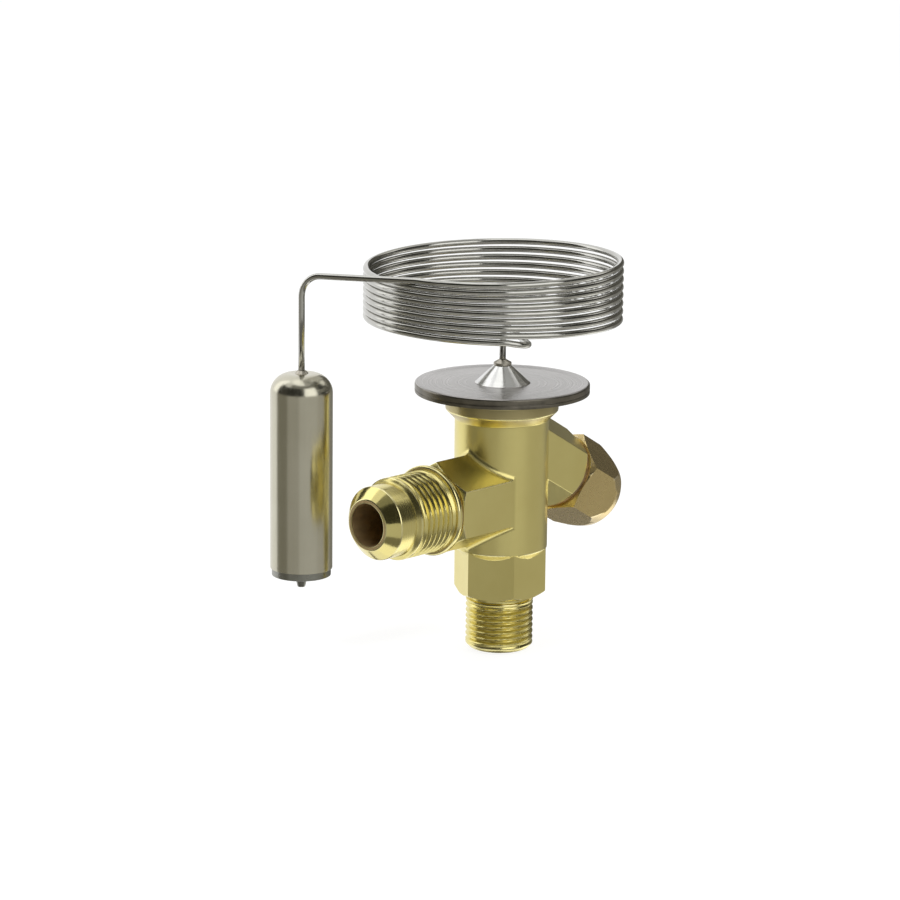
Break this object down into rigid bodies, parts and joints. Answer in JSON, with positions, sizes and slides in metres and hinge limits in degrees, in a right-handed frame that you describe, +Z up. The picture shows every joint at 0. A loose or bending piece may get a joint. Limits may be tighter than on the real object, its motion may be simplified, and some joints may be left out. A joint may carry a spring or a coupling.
{
  "type": "thermostatic expansion valve",
  "caption": "Brass flare-ended thermostatic expansion valve with a diaphragm element, coiled capillary tube, sensing bulb and capped superheat setting spindle.",
  "frame": {"origin": "centre of the inlet's end face, on the main axis", "axes": "+Z up the main axis from the inlet to the diaphragm element; the outlet points along -X; the setting spindle leans down on the +X side"},
  "size_m": [0.0824, 0.0635, 0.093],
  "materials": {
    "body_brass": "machined and tumbled, satin",
    "cap_brass": "turned, satin, warmer than the body",
    "insert_brass": "turned",
    "hard_steel": "ground",
    "spring_steel": "drawn wire",
    "mesh_steel": "woven wire cloth",
    "element_steel": "pressed sheet, satin",
    "tube_steel": "drawn tube, satin",
    "bulb_steel": "drawn tube, satin",
    "braze_metal": "smooth braze",
    "gasket_metal": "soft copper ring",
    "seal_rubber": "moulded"
  },
  "bodies": {
    "valve": {"valve_body": "body_brass", "orifice_housing": "insert_brass", "orifice_seat": "hard_steel", "insert_seal": "seal_rubber", "cone_spring": "spring_steel", "cone_spring_retainer": "insert_brass", "strainer_ring": "insert_brass", "strainer_mesh": "mesh_steel", "pin_guide_bush": "insert_brass", "pin_seal": "seal_rubber", "superheat_spring": "spring_steel", "element_lower_cover": "element_steel", "diaphragm": "element_steel", "element_upper_cover": "element_steel", "element_braze": "braze_metal", "packing_gland": "insert_brass", "capillary_tube": "tube_steel", "bulb_shell": "bulb_steel", "bulb_braze": "braze_metal", "bulb_end_cap": "bulb_steel"},
    "stem": {"thrust_pad": "insert_brass", "push_pin": "hard_steel", "valve_cone": "hard_steel"},
    "seat": {"spring_seat": "insert_brass"},
    "spindle_travel": {"spindle_ring": "seal_rubber"},
    "spindle": {"setting_spindle": "hard_steel"},
    "cap_travel": {"cap_gasket": "gasket_metal"},
    "cap": {"seal_cap": "cap_brass"}
  },
  "joints": [
    {"name": "stem_lift", "type": "slide", "parent": "valve", "child": "stem", "axis": [0, 0, -1], "range_m": [0, 0.0006], "stiffness_N_per_m": 4000, "springref_m": -0.001, "deforming": ["cone_spring", "diaphragm"]},
    {"name": "seat_lift", "type": "slide", "parent": "valve", "child": "seat", "axis": [0, 0, 1], "range_m": [-0.0005, 0.0005], "deforming": ["superheat_spring"]},
    {"name": "spindle_feed", "type": "slide", "parent": "valve", "child": "spindle_travel", "axis": [-0.866, 0, 0.5], "range_m": [-0.001, 0.001]},
    {"name": "spindle_turn", "type": "hinge", "parent": "spindle_travel", "child": "spindle", "pos_m": [0, 0, 0.0505], "axis": [-0.866, 0, 0.5], "range_deg": [-721, 721]},
    {"name": "cap_feed", "type": "slide", "parent": "valve", "child": "cap_travel", "axis": [0.866, 0, -0.5], "range_m": [0, 0.01]},
    {"name": "cap_turn", "type": "hinge", "parent": "cap_travel", "child": "cap", "pos_m": [0, 0, 0.0505], "axis": [0.866, 0, -0.5], "range_deg": [0, 3602]}
  ],
  "couplings": [
    {"joint": "spindle_turn", "follows": "spindle_feed", "rad_per_m": 12566},
    {"joint": "seat_lift", "follows": "spindle_feed", "ratio": 0.5},
    {"joint": "cap_turn", "follows": "cap_feed", "rad_per_m": 6283.2}
  ]
}
